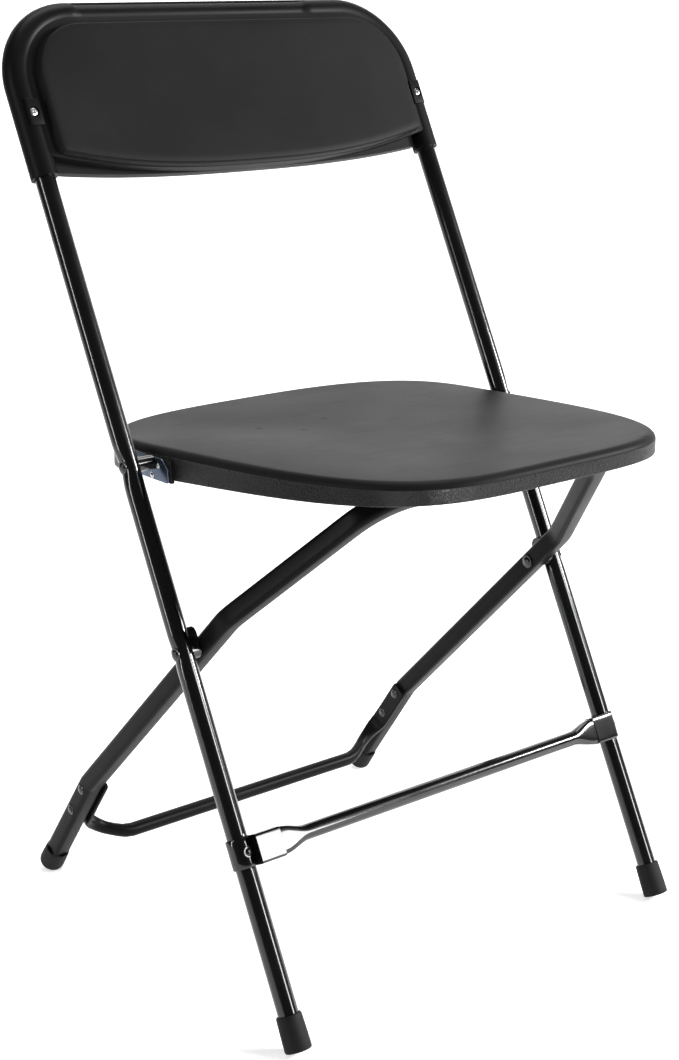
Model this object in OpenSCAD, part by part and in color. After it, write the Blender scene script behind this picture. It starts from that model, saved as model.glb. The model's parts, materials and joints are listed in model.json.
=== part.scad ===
// Folding chair: a leaning tube frame carries the backrest, and the seat and the rear legs are
// riveted to it, so that both fold flat against it. All sizes are in millimetres. +Z is up, the
// sitter faces -Y, and X = 0 is the plane of symmetry. The floor is Z = 0.

/* [Front frame] */
// Outside diameter of the frame tube
tube_d = 17; // [14:0.5:19]
// Wall of the frame tube
tube_wall = 1.2; // [0.8:0.1:2]
// Distance between the centre lines of the two upright tubes
tube_span = 410; // [390:1:500]
// Backward lean of the frame from upright, in degrees
frame_lean = 27; // [24:0.5:30]
// Height of the top of the backrest above the floor
overall_h = 781; // [700:1:940]
// Centre line radius of the frame tube's two top bends
top_bend_r = 62; // [45:1:90]

/* [Backrest] */
// Length of the backrest along the tubes
back_h = 150; // [110:1:200]
// Plastic around the tube in the backrest's rim
rim_wall = 3; // [2:0.5:5]
// Wall of the backrest's panels
panel_wall = 2.8; // [2:0.2:4]
// How far the raised front panel stands in front of the tube's centre line
panel_front = 19; // [15:0.5:24]
// How far the rear panel stands behind the tube's centre line
panel_rear = 10.5; // [9.5:0.5:14]
// Width of the rim strip left around the raised panel
rim_strip = 13; // [12:1:30]

/* [Pivots] */
// Distance up the tube from the floor line to the seat's pivot
seat_pivot_t = 481; // [460:1:500]
// Distance up the tube from the floor line to the rear legs' pivot
leg_pivot_t = 326.5; // [310:0.5:340]
// Shank diameter of the pivot rivets
pivot_d = 6; // [5:0.5:8]
// Radial clearance of a turning part on a pivot rivet
pivot_clear = 0.06; // [0.02:0.01:0.1]
// Head diameter of the pivot rivets
pivot_head_d = 12; // [10:0.5:14]
// Head height of the pivot rivets
pivot_head_h = 2.2; // [1.5:0.1:3]
// Gap left between parts that turn past each other
side_gap = 0.4; // [0.3:0.1:1]

/* [Rear legs] */
// Width and depth of the rear leg tube
leg_w = 17; // [14:0.5:18]
// Wall of the rear leg tube
leg_wall = 1.2; // [0.8:0.1:2]
// Corner chamfer of the rear leg tube
leg_chamfer = 3; // [1:0.5:5]
// Distance from the mid-plane to the leg's centre line at its pivot
leg_pivot_x = 183; // [178:0.5:183]
// Rise of the legs above horizontal, in degrees
leg_rise = 45; // [42:0.5:48]
// Outward splay of the lower legs, in degrees
leg_splay = 0.6; // [0:0.1:0.9]
// Distance up the leg from the pivot to the inward bend
kink_s = 45; // [35:1:60]
// Inward slope of the legs above that bend, in degrees
arch_slope = 23; // [18:0.5:28]
// Height of the top bar's centre line above the floor
arch_z = 430; // [424:0.5:432]
// Centre line radius of the two bends beside the top bar
arch_bend_r = 50; // [35:1:60]
// Height of the lower bend above the floor
low_bend_z = 112; // [90:1:140]
// Lean of the leg below its lower bend from upright, in degrees
foot_lean = 35.6; // [32:0.1:40]

/* [Crossbars] */
// Outside diameter of both crossbars
bar_d = 13; // [11:0.5:15]
// Wall of both crossbars
bar_wall = 1.2; // [0.8:0.1:2]
// Distance up the tube from the floor line to the front crossbar
front_bar_t = 163; // [120:1:220]
// Length of each flared end of the front crossbar
flare_l = 28; // [20:1:40]
// Height of the flared ends along the tube
flare_h = 24; // [18:1:32]
// Wall of the flared ends
flare_wall = 2; // [1.5:0.1:3]
// Shank diameter of the crossbar rivets
rivet_d = 5; // [4:0.5:6]
// Head diameter of the crossbar rivets
rivet_head_d = 9; // [8:0.5:11]
// Head height of the crossbar rivets
rivet_head_h = 1.8; // [1.2:0.1:2.5]
// Height of the rear crossbar's middle above the floor
rear_bar_z = 40; // [30:1:70]
// Distance of the rear crossbar's middle in front of the legs' centre line
rear_bar_set = 22; // [16:1:26]

/* [Seat] */
// Width of the seat at its widest
seat_w = 361; // [352:1:361]
// Distance from the floor line of the tubes forward to the seat's front edge
seat_ahead = 63; // [40:1:80]
// Distance from the floor line of the tubes back to the seat's rear edge
seat_behind = 352; // [335:1:360]
// Height of the seat's top above its pivot, measured at the pivot
seat_over_pivot = 12; // [10:0.5:13]
// Fall of the seat towards the rear, in degrees
seat_fall = 3.3; // [2:0.1:4]
// Depth of the seat's skirt at the front edge
skirt_front = 17; // [14:0.5:20]
// Depth of the seat's skirt at the rear edge
skirt_rear = 30; // [24:0.5:31]
// Wall of the moulded seat
seat_wall = 3; // [2.4:0.2:4]
// Radius of the rounding between the seat's top and its skirt
seat_edge_r = 7; // [4:0.5:9]
// How much narrower the seat is at the front than at the pivot, on each side
seat_taper = 12; // [6:1:18]
// Depth of the shallow dish in the middle of the seat
seat_dish = 5; // [0:0.5:8]
// Width of each of the two pads that rest on the rear legs' top bar
glide_w = 30; // [20:1:50]
// Thickness of those pads
glide_t = 3; // [2:0.5:5]

/* [Feet] */
// Largest radius of the front foot caps
front_foot_r = 11; // [10:0.5:12]
// Length of the front foot caps
front_foot_l = 29; // [22:1:36]
// Radius of the rear foot caps
rear_foot_r = 11.5; // [11:0.5:12]
// Length of the rear foot caps
rear_foot_l = 25; // [20:1:32]

/* [Hidden] */
$fn = 64;

// Round places keep the tube's straights and bends exactly in line
function hundredth(v) = round(v * 100) / 100;

tube_r = tube_d / 2;
tube_x = tube_span / 2;
bar_r = bar_d / 2;
steel_colour = [0.05, 0.05, 0.055];
plastic_colour = [0.09, 0.09, 0.09];

// The two pivots, as [y, z]
seat_pivot = [seat_pivot_t * sin(frame_lean), seat_pivot_t * cos(frame_lean)];
leg_pivot = [leg_pivot_t * sin(frame_lean), leg_pivot_t * cos(frame_lean)];

// Backrest heights along the tube
rim_r = tube_r + rim_wall;
top_t = hundredth((overall_h - rim_r) / cos(frame_lean));
back_bottom_t = hundredth(top_t + rim_r - back_h);

// Rear leg, in its own plane: x across, s up the leg from the pivot
leg_half = leg_w / 2;
kink_x = leg_pivot_x - kink_s * tan(leg_splay);
top_bar_s = (arch_z - leg_pivot[1]) / sin(leg_rise);
corner_x = kink_x - (top_bar_s - kink_s) * tan(arch_slope);
low_bend_s = (leg_pivot[1] - low_bend_z) / sin(leg_rise);
low_bend_x = leg_pivot_x + low_bend_s * tan(leg_splay);
low_bend_y = leg_pivot[0] + low_bend_s * cos(leg_rise);
low_turn = 90 - leg_rise - foot_lean;
bar_top_z = arch_z + (leg_w - leg_chamfer) / sqrt(2);

// Foot caps: how high the end of the cap's axis is when its rounded edge rests on the floor
front_edge_r = 1.5;
rear_edge_r = 5;
front_end_z = front_edge_r + (front_foot_r - front_edge_r) * sin(frame_lean)
              - front_edge_r * cos(frame_lean);
rear_end_z = rear_edge_r + (rear_foot_r - rear_edge_r) * sin(foot_lean)
             - rear_edge_r * cos(foot_lean);
front_foot_t = hundredth(front_end_z / cos(frame_lean));
low_leg_l = (low_bend_z - rear_end_z) / cos(foot_lean);
rear_end_y = low_bend_y + low_leg_l * sin(foot_lean);
cap_floor = 4;

// The origin is the middle of the chair's footprint
rearmost_y = rear_end_y - rear_edge_r * sin(foot_lean)
             + (rear_foot_r - rear_edge_r) * cos(foot_lean) + rear_edge_r;
centre_y = (rearmost_y - seat_ahead) / 2;

// Seat outline
seat_front_n = 4.2;
seat_rear_n = 2.9;
seat_wide_y = seat_pivot[0] + 12;
seat_points = 80;
seat_pad_x = seat_w / 2 + 0.6;
bracket_t = 2;
bracket_x = seat_pad_x + bracket_t;

// The pivot rivets' heads sit on small flats pressed into the tubes
head_sink = 0.5;

// Small fasteners
screw_d = 4;
screw_head_d = 8;
screw_head_h = 1.6;

// ---------- placing ----------

module placed() {
    translate([0, -centre_y, 0]) children();
}

// Along the tube: x across, y square to the frame's plane (positive behind it), z up the tube
module on_frame() {
    rotate([-frame_lean, 0, 0]) children();
}

// In the rear legs' plane: x across, y up the leg from the pivot, z towards the front and floor
module on_legs() {
    translate([0, leg_pivot[0], leg_pivot[1]])
        rotate([180 - leg_rise, 0, 0]) children();
}

// At the lower bend of one leg: x down the leg, y towards the front and floor
module on_low_bend(side) {
    on_legs()
        translate([side * low_bend_x, -low_bend_s, 0])
            rotate([0, 0, side * leg_splay])
                rotate([90, 0, -90]) children();
}

// Below the lower bend: x down the leg to its foot, z towards the left of the chair
module on_low_leg(side) {
    on_low_bend(side) rotate([0, 0, low_turn]) children();
}

// A cylinder along x, from x1 to x2, at a [y, z] place
module across(x1, x2, at, d) {
    translate([min(x1, x2), at[0], at[1]])
        rotate([0, 90, 0])
            cylinder(d = d, h = abs(x2 - x1));
}

// ---------- shapes ----------

module ring(r, wall) {
    difference() {
        circle(r = r);
        circle(r = r - wall);
    }
}

function chamfered_square(w, c) = let (h = w / 2)
    [[h, c - h], [h, h - c], [h - c, h], [c - h, h],
     [-h, h - c], [-h, c - h], [c - h, -h], [h - c, -h]];

function heading(p, q) = atan2(q[1] - p[1], q[0] - p[0]);
function half_turn(a) = a > 180 ? a - 360 : a < -180 ? a + 360 : a;
function turn_at(pts, i) = half_turn(heading(pts[i], pts[i + 1]) - heading(pts[i - 1], pts[i]));
function trim_at(pts, radii, i) = i == 0 || i == len(pts) - 1
    ? 0 : radii[i] * tan(abs(turn_at(pts, i)) / 2);

// A bar with the child's section, along points in the XY plane, with a round bend at each
// inner point
module bent_bar(pts, radii) {
    for (i = [0 : len(pts) - 2]) {
        h = heading(pts[i], pts[i + 1]);
        l = norm(pts[i + 1] - pts[i]) - trim_at(pts, radii, i) - trim_at(pts, radii, i + 1);
        translate(pts[i] + trim_at(pts, radii, i) * [cos(h), sin(h)])
            rotate([0, 0, h])
                rotate([90, 0, 90])
                    linear_extrude(l) children();
    }
    for (i = [1 : 1 : len(pts) - 2]) {
        h = heading(pts[i - 1], pts[i]);
        turn = turn_at(pts, i);
        way = sign(turn);
        start = pts[i] - trim_at(pts, radii, i) * [cos(h), sin(h)];
        translate(start + way * radii[i] * [-sin(h), cos(h)])
            rotate([0, 0, way > 0 ? h - 90 : h + 90 + turn])
                rotate_extrude(angle = abs(turn))
                    translate([radii[i], 0]) children();
    }
}

// The same route with each bend as a few chords, for a bar made of mitred straights
function chords(pts, radii, n) = [for (i = [0 : len(pts) - 1])
    each i == 0 || i == len(pts) - 1 ? [pts[i]] : let (
        h = heading(pts[i - 1], pts[i]), turn = turn_at(pts, i), way = sign(turn),
        start = pts[i] - trim_at(pts, radii, i) * [cos(h), sin(h)],
        centre = start + way * radii[i] * [-sin(h), cos(h)])
        [for (k = [0 : n]) let (a = h - way * 90 + turn * k / n)
            centre + radii[i] * [cos(a), sin(a)]]];

// Rings of a section's points along a flat route, each ring on the mitre of its corner
function mitred_rings(pts, section) = [for (i = [0 : len(pts) - 1]) let (
    last = len(pts) - 1,
    before = heading(pts[max(i - 1, 0)], pts[max(i, 1)]),
    turn = i == 0 || i == last ? 0 : turn_at(pts, i),
    across = [-sin(before + turn / 2), cos(before + turn / 2)] / cos(turn / 2))
    [for (c = section) [pts[i][0] + c[0] * across[0], pts[i][1] + c[0] * across[1], c[1]]]];

// Closed skin over rings that follow each other, the last of them joined to the first
module closed_skin(rings) {
    n = len(rings[0]);
    m = len(rings);
    polyhedron(
        points = [for (r = rings) for (p = r) p],
        faces = [for (j = [0 : m - 1]) for (i = [0 : n - 1]) for (half = [0, 1])
            let (a = j * n + i, b = j * n + (i + 1) % n,
                 c = ((j + 1) % m) * n + (i + 1) % n, d = ((j + 1) % m) * n + i)
            half == 0 ? [a, c, b] : [a, d, c]],
        convexity = 10);
}

// The frame tube's route: x across, y up the tube
function frame_route(from_t) = [[-tube_x, from_t], [-tube_x, top_t], [tube_x, top_t],
                                [tube_x, from_t]];
frame_radii = [0, top_bend_r, top_bend_r, 0];

module frame_run(from_t) {
    on_frame() rotate([90, 0, 0]) bent_bar(frame_route(from_t), frame_radii) children();
}

// A domed rivet head on a face: it grows along z
module rivet_head(d, h) {
    rotate_extrude()
        polygon([[0, 0], [d / 2, 0], [d / 2, h * 0.3], [d * 0.36, h * 0.8], [d * 0.2, h], [0, h]]);
}

// A rivet head on a face that looks along side * x
module side_head(x, at, side, d, h) {
    translate([x, at[0], at[1]])
        rotate([0, side * 90, 0]) rivet_head(d, h);
}

// A rubber cap: its closed end is at z = 0, and it is open above the floor of the cap
module foot_cap(r_end, r_rim, l, edge_r) {
    rotate_extrude() {
        polygon([[0, 0], [r_end - edge_r, 0], [r_end, edge_r], [r_rim, l], [0, l]]);
        translate([r_end - edge_r, edge_r])
            intersection() {
                circle(r = edge_r);
                translate([0, -edge_r]) square(edge_r);
            }
    }
}

// ---------- front frame ----------

module frame_tube() {
    color(steel_colour) placed() difference() {
        frame_run(front_foot_t + cap_floor) ring(tube_r, tube_wall);
        for (side = [-1, 1]) {
            for (at = [seat_pivot, leg_pivot]) {
                pivot_bore(side, at, pivot_d);
                across(side * (tube_x + tube_r - head_sink), side * (tube_x + tube_d), at,
                       pivot_head_d);
            }
            on_frame() translate([side * tube_x, 0, front_bar_t])
                rotate([-90, 0, 0]) {
                    cylinder(d = rivet_d, h = 3 * tube_d, center = true);
                    translate([0, 0, tube_r - head_sink]) cylinder(d = rivet_head_d, h = tube_r);
                }
            on_frame() translate([side * tube_x, -tube_d, screw_t])
                rotate([-90, 0, 0]) cylinder(d = screw_d, h = tube_d);
        }
    }
}

module pivot_bore(side, at, d) {
    across(side * (tube_x - tube_d), side * (tube_x + tube_d), at, d);
}

module front_foot(side) {
    color("black") placed() on_frame()
        translate([side * tube_x, 0, front_foot_t]) difference() {
            foot_cap(front_foot_r, front_foot_r - 0.8, front_foot_l, front_edge_r);
            translate([0, 0, cap_floor]) cylinder(d = tube_d, h = front_foot_l);
        }
}
module front_foot_left() { front_foot(-1); }
module front_foot_right() { front_foot(1); }

// The crossbar lies against the front of both tubes, sunk a little into the saddle's curve
bar_sink = 4;
bar_front = -(tube_r + flare_wall + bar_r - bar_sink);
flare_in_x = tube_x - tube_r - flare_l;
flare_depth = bar_d - 1;
flare_neck_x = flare_in_x - 10;
flare_box_x = flare_in_x + 8;
flare_end_x = tube_x - rivet_head_d / 2 - 0.6;
flare_outline = [[flare_neck_x, 2 - bar_r], [flare_box_x, -flare_h / 2],
                 [flare_end_x, -flare_h / 2], [flare_end_x, flare_h / 2],
                 [flare_box_x, flare_h / 2], [flare_neck_x, bar_r - 2]];

module front_crossbar() {
    saddle_r = tube_r + flare_wall;
    color(steel_colour) placed() on_frame() translate([0, 0, front_bar_t]) difference() {
        union() {
            translate([-flare_in_x, bar_front, 0])
                rotate([0, 90, 0]) cylinder(d = bar_d, h = 2 * flare_in_x);
            for (side = [-1, 1]) {
                translate([0, bar_front + flare_depth / 2, 0]) rotate([90, 0, 0])
                    linear_extrude(flare_depth) polygon([for (p = flare_outline) [side * p[0], p[1]]]);
                translate([side * tube_x, 0, 0]) intersection() {
                    cylinder(r = saddle_r, h = flare_h, center = true);
                    translate([0, -saddle_r / 2, 0])
                        cube([2 * saddle_r, saddle_r, flare_h], center = true);
                }
            }
        }
        translate([-flare_in_x - 2, bar_front, 0])
            rotate([0, 90, 0]) cylinder(r = bar_r - bar_wall, h = 2 * flare_in_x + 4);
        for (side = [-1, 1]) {
            translate([side * tube_x, 0, 0]) cylinder(r = tube_r, h = 2 * flare_h, center = true);
            translate([side * tube_x, 0, 0]) rotate([90, 0, 0]) {
                cylinder(d = rivet_d, h = 2 * tube_d);
                translate([0, 0, saddle_r - head_sink]) cylinder(d = rivet_head_d, h = tube_r);
            }
        }
    }
}

module front_crossbar_rivets() {
    front_face = head_sink - tube_r - flare_wall;
    color("silver") placed() on_frame() for (side = [-1, 1]) {
        translate([side * tube_x, 0, front_bar_t]) {
            translate([0, tube_r - head_sink, 0]) rotate([90, 0, 0])
                cylinder(d = rivet_d, h = tube_r - head_sink - front_face);
            translate([0, front_face, 0]) rotate([90, 0, 0]) rivet_head(rivet_head_d, rivet_head_h);
            translate([0, tube_r - head_sink, 0]) rotate([-90, 0, 0])
                rivet_head(rivet_head_d, rivet_head_h);
        }
    }
}

// ---------- backrest ----------

screw_t = back_bottom_t + 52;
screw_pad = [12, 23];
screw_pad_rise = 1.5;
screw_sink = 2;

// Outline of a panel inside the rim: x across, y up the tube. The lower edge bows down, and is
// flatter in the middle the higher its exponent.
bow_n = 2.6;
function panel_outline(inset, lower, bow) = let (
    x = tube_x - inset, top = top_t - inset, r = max(top_bend_r - inset, 8), low_r = 5)
    concat(
        [for (a = [0 : 10 : 90]) [x - r + r * cos(a), top - r + r * sin(a)]],
        [for (a = [90 : 10 : 180]) [r - x + r * cos(a), top - r + r * sin(a)]],
        [for (a = [180 : 15 : 255]) [low_r - x + low_r * cos(a), lower + low_r + low_r * sin(a)]],
        [for (k = [-0.9 : 0.15 : 0.91]) [k * (x - low_r), lower - bow * (1 - pow(abs(k), bow_n))]],
        [for (a = [285 : 15 : 360]) [x - low_r + low_r * cos(a), lower + low_r + low_r * sin(a)]]);

// A plate with that outline, from y1 to y2 square to the frame's plane
module panel(y1, y2, inset, lower, bow) {
    on_frame() translate([0, y2, 0]) rotate([90, 0, 0])
        linear_extrude(y2 - y1) polygon(panel_outline(inset, lower, bow));
}

module half_space(y1, y2) {
    on_frame() translate([-tube_span, y1, 0]) cube([2 * tube_span, y2 - y1, 2 * overall_h]);
}

front_lower_t = back_bottom_t + 14;
rear_lower_t = back_bottom_t + 4;
front_lower_bow = 19;
rear_lower_bow = 9;
step_y = -(rim_r - 1);

// The band under the raised panel reaches out to where the rim's curve meets its face
band_inset = hundredth(sqrt(pow(rim_r, 2) - pow(step_y, 2)) - 0.2);

module back_front_shell() {
    color(plastic_colour) placed() difference() {
        union() {
            intersection() {
                frame_run(back_bottom_t) circle(r = rim_r);
                half_space(-rim_r - 1, 0);
            }
            panel(step_y, 0, band_inset, front_lower_t, front_lower_bow);
            panel(-panel_front, step_y, rim_strip, front_lower_t, front_lower_bow);
            for (side = [-1, 1]) on_frame()
                translate([side * (tube_x - 1), -(rim_r + screw_pad_rise + tube_r) / 2, screw_t])
                    cube([screw_pad[0], rim_r + screw_pad_rise - tube_r, screw_pad[1]], center = true);
        }
        frame_run(back_bottom_t - 1) circle(r = tube_r);
        panel(step_y + panel_wall, 1, tube_r + panel_wall, front_lower_t + panel_wall,
              front_lower_bow);
        panel(panel_wall - panel_front, 1, rim_strip + panel_wall,
              front_lower_t + panel_wall, front_lower_bow);
        for (side = [-1, 1]) on_frame() translate([side * tube_x, 0, screw_t]) rotate([90, 0, 0]) {
            cylinder(d = screw_d, h = 2 * tube_d);
            translate([0, 0, rim_r + screw_pad_rise - screw_sink])
                cylinder(d = screw_head_d + 1, h = tube_d);
        }
    }
}

module back_rear_shell() {
    color(plastic_colour) placed() difference() {
        union() {
            intersection() {
                frame_run(back_bottom_t) circle(r = rim_r);
                half_space(0, rim_r + 1);
            }
            panel(0, panel_rear, tube_r, rear_lower_t, rear_lower_bow);
        }
        frame_run(back_bottom_t - 1) circle(r = tube_r);
        panel(-1, panel_rear - panel_wall, tube_r + panel_wall, rear_lower_t + panel_wall,
              rear_lower_bow);
    }
}

module back_screws() {
    head_y = screw_sink - rim_r - screw_pad_rise;
    color("silver") placed() on_frame() for (side = [-1, 1]) {
        translate([side * tube_x, 0, screw_t]) {
            translate([0, head_y, 0]) rotate([90, 0, 0])
                cylinder(d1 = screw_head_d, d2 = screw_head_d - 2, h = screw_head_h);
            translate([0, head_y, 0]) rotate([-90, 0, 0])
                cylinder(d = screw_d, h = -head_y - tube_r + tube_wall + 3);
        }
    }
}

// ---------- pivots ----------

// The seat turns on a rivet through the tube, a spacer, the bracket and the seat's wall
seat_tail_x = seat_w / 2 - seat_wall - 2;

module seat_pivot_rivet(side) {
    tail_x = seat_tail_x - pivot_head_h;
    color("silver") placed() {
        across(side * tail_x, side * (tube_x + tube_r - head_sink), seat_pivot, pivot_d);
        side_head(side * (tube_x + tube_r - head_sink), seat_pivot, side, pivot_head_d, pivot_head_h);
        across(side * tail_x, side * seat_tail_x, seat_pivot, pivot_head_d - 2);
    }
}
module seat_pivot_rivet_left() { seat_pivot_rivet(-1); }
module seat_pivot_rivet_right() { seat_pivot_rivet(1); }

module seat_pivot_spacer(side) {
    color(steel_colour) placed() difference() {
        across(side * (bracket_x + side_gap), side * tube_x, seat_pivot, pivot_head_d);
        across(side * (bracket_x - 1), side * (tube_x + 1), seat_pivot, pivot_d);
        on_frame() translate([side * tube_x, 0, 0]) cylinder(r = tube_r, h = overall_h);
    }
}
module seat_pivot_spacer_left() { seat_pivot_spacer(-1); }
module seat_pivot_spacer_right() { seat_pivot_spacer(1); }

// The rear leg turns on a rivet through the tube, a rounded plate and the leg
leg_outer_x = leg_pivot_x + (leg_half + 0.1) / cos(leg_splay);
leg_inner_x = leg_pivot_x - (leg_half + 0.1) / cos(leg_splay);

module leg_pivot_rivet(side) {
    tail_x = leg_inner_x - side_gap;
    color("silver") placed() {
        across(side * tail_x, side * (tube_x + tube_r - head_sink), leg_pivot, pivot_d);
        side_head(side * (tube_x + tube_r - head_sink), leg_pivot, side, pivot_head_d, pivot_head_h);
        side_head(side * tail_x, leg_pivot, -side, pivot_head_d, pivot_head_h);
    }
}
module leg_pivot_rivet_left() { leg_pivot_rivet(-1); }
module leg_pivot_rivet_right() { leg_pivot_rivet(1); }

module leg_pivot_spacer(side) {
    plate_w = 14;
    reach = 12;
    x1 = leg_outer_x + side_gap;
    color(steel_colour) placed() difference() {
        on_frame() union() {
            across(side * x1, side * tube_x, [0, leg_pivot_t], plate_w);
            translate([side * (x1 + tube_x) / 2, 0, leg_pivot_t + reach / 2])
                cube([tube_x - x1, plate_w, reach], center = true);
            across(side * x1, side * tube_x, [0, leg_pivot_t + reach], plate_w);
        }
        across(side * (x1 - 1), side * (tube_x + 1), leg_pivot, pivot_d);
        on_frame() translate([side * tube_x, 0, 0]) cylinder(r = tube_r, h = overall_h);
    }
}
module leg_pivot_spacer_left() { leg_pivot_spacer(-1); }
module leg_pivot_spacer_right() { leg_pivot_spacer(1); }

// ---------- seat ----------

function power(v, n) = sign(v) * pow(abs(v), n);
function seat_top_z(y) = seat_pivot[1] + seat_over_pivot - (y - seat_pivot[0]) * tan(seat_fall);
function seat_skirt(y) = skirt_front
    + (skirt_rear - skirt_front) * (y + seat_ahead) / (seat_behind + seat_ahead);
function seat_half_w(y) = seat_w / 2 - seat_taper * max(seat_wide_y - y, 0)
    / (seat_wide_y + seat_ahead);

// A point of the outline at angle a, drawn in by an inset
function seat_outline(a, inset) = let (
    n = sin(a) < 0 ? seat_front_n : seat_rear_n,
    reach = (sin(a) < 0 ? seat_wide_y + seat_ahead : seat_behind - seat_wide_y) - inset,
    y = seat_wide_y + reach * power(sin(a), 2 / n))
    [(seat_half_w(y) - inset) * power(cos(a), 2 / n), y];

// The dish is deepest in the middle and fades out towards the edge
function seat_dip(share) = seat_dish * pow(1 - share, 2) * (1 + 2 * share);

// One ring of points, at an inset and a drop below the top
function seat_ring(inset, drop, to_skirt) = [for (i = [0 : seat_points - 1]) let (
    p = seat_outline(360 * i / seat_points, inset),
    deep = to_skirt ? seat_skirt(p[1]) : drop)
    [p[0], p[1], seat_top_z(p[1]) - deep]];

// One ring on the dished top, at a share of the way out from the middle
function seat_top_ring(share, inset, drop) = [for (i = [0 : seat_points - 1]) let (
    e = seat_outline(360 * i / seat_points, inset),
    x = e[0] * share,
    y = seat_middle_y + (e[1] - seat_middle_y) * share)
    [x, y, seat_top_z(y) - drop - seat_dip(share)]];
seat_middle_y = (seat_behind - seat_ahead) / 2;

seat_shares = [0.97, 0.9, 0.8, 0.65, 0.45, 0.25];
seat_round = [0, 30, 60, 90];
inner_edge_r = max(seat_edge_r - seat_wall, 1);

function seat_rings() = concat(
    [seat_ring(seat_wall, 0, true)],
    [seat_ring(0, 0, true)],
    [for (a = seat_round) seat_ring(seat_edge_r * (1 - cos(a)), seat_edge_r * (1 - sin(a)), false)],
    [for (s = seat_shares) seat_top_ring(s, seat_edge_r, 0)],
    [seat_top_ring(0.001, seat_edge_r, 0)]);

function seat_inner_rings() = concat(
    [seat_top_ring(0.001, seat_edge_r, seat_wall)],
    [for (i = [len(seat_shares) - 1 : -1 : 0]) seat_top_ring(seat_shares[i], seat_edge_r, seat_wall)],
    [for (i = [3 : -1 : 0]) let (a = seat_round[i])
        seat_ring(seat_wall + inner_edge_r * (1 - cos(a)),
                  seat_wall + inner_edge_r * (1 - sin(a)), false)]);

// Two bosses under the seat carry the pads that meet the rear legs' top bar
boss_floor_z = bar_top_z + side_gap + glide_t;
glide_x = 62;
glide_l = 26;
bar_y = leg_pivot[0] - top_bar_s * cos(leg_rise);
boss_top_z = seat_top_z(bar_y) - seat_wall;

// The bracket on each side of the seat: how far it reaches ahead of and behind the pivot, how
// far its middle line is below the pivot, and where its screws are behind the pivot
bracket_h = 19;
bracket_ahead = 22;
bracket_behind = 36;
bracket_drop = 4.5;
bracket_screw_y = [14, 26];
pad_margin = 2;
pad_inner_x = seat_w / 2 - seat_wall;

module seat_shell() {
    pad_l = bracket_ahead + bracket_behind + 2 * pad_margin;
    color(plastic_colour) placed() difference() {
        union() {
            closed_skin(concat(seat_rings(), seat_inner_rings()));
            for (side = [-1, 1]) {
                translate([side * (seat_pad_x + pad_inner_x) / 2,
                           seat_pivot[0] + (bracket_behind - bracket_ahead) / 2,
                           seat_pivot[1] - bracket_drop])
                    cube([seat_pad_x - pad_inner_x, pad_l, bracket_h], center = true);
                translate([side * glide_x, bar_y, (boss_floor_z + boss_top_z) / 2])
                    cube([glide_w, glide_l, boss_top_z - boss_floor_z], center = true);
            }
        }
        for (side = [-1, 1])
            across(side * (seat_tail_x - seat_wall), side * (seat_pad_x + 1), seat_pivot,
                   pivot_d + 2 * side_gap);
    }
}

module seat_bracket(side) {
    low_z = seat_pivot[1] - bracket_drop;
    r = bracket_h / 2;
    front_y = seat_pivot[0] - bracket_ahead + r;
    rear_y = seat_pivot[0] + bracket_behind - r;
    color([0.55, 0.6, 0.7]) placed() difference() {
        union() {
            across(side * seat_pad_x, side * bracket_x, [front_y, low_z], bracket_h);
            across(side * seat_pad_x, side * bracket_x, [rear_y, low_z], bracket_h);
            translate([side * (seat_pad_x + bracket_t / 2), (front_y + rear_y) / 2, low_z])
                cube([bracket_t, rear_y - front_y, bracket_h], center = true);
        }
        across(side * (seat_pad_x - 1), side * (bracket_x + 1), seat_pivot,
               pivot_d + 2 * pivot_clear);
        for (dy = bracket_screw_y)
            across(side * (seat_pad_x - 1), side * (bracket_x + 1),
                   [seat_pivot[0] + dy, low_z], screw_d);
    }
}
module seat_bracket_left() { seat_bracket(-1); }
module seat_bracket_right() { seat_bracket(1); }

module seat_bracket_screws() {
    color("silver") placed() for (side = [-1, 1]) for (dy = bracket_screw_y) {
        at = [seat_pivot[0] + dy, seat_pivot[1] - bracket_drop];
        across(side * seat_pad_x, side * bracket_x, at, screw_d);
        side_head(side * bracket_x, at, side, screw_head_d, screw_head_h);
    }
}

module seat_glide(side) {
    color("dimgray") placed()
        translate([side * glide_x, bar_y, boss_floor_z - glide_t / 2])
            cube([glide_w, glide_l, glide_t], center = true);
}
module seat_glide_left() { seat_glide(-1); }
module seat_glide_right() { seat_glide(1); }

// ---------- rear legs ----------

leg_route = [[-low_bend_x, -low_bend_s], [-kink_x, kink_s], [-corner_x, top_bar_s],
             [corner_x, top_bar_s], [kink_x, kink_s], [low_bend_x, -low_bend_s]];
kink_r = 40;
leg_radii = [0, kink_r, arch_bend_r, arch_bend_r, kink_r, 0];
leg_chords = 6;

// The two places of the crossbar's rivets, down the leg from the lower bend
bar_rivet_s = [8, 40];

// A ring in the legs' plane leans over the lower bend's mitre, and its far end is at the foot
function bend_ring(ring) = [for (p = ring) [p[0], p[1] + p[2] * tan(low_turn / 2), p[2]]];
function foot_ring(ring, side) = let (
    down = [side * sin(leg_splay) * cos(low_turn), -cos(leg_splay) * cos(low_turn), sin(low_turn)],
    l = low_leg_l - cap_floor)
    [for (p = ring) [p[0], p[1], 0] + p[2] * [0, sin(low_turn), cos(low_turn)] + l * down];

function leg_skin(section) = let (rings = mitred_rings(chords(leg_route, leg_radii, leg_chords),
                                                      section), last = len(rings) - 1)
    concat([foot_ring(rings[0], -1), bend_ring(rings[0])],
           [for (i = [1 : last - 1]) rings[i]],
           [bend_ring(rings[last]), foot_ring(rings[last], 1)]);

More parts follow.
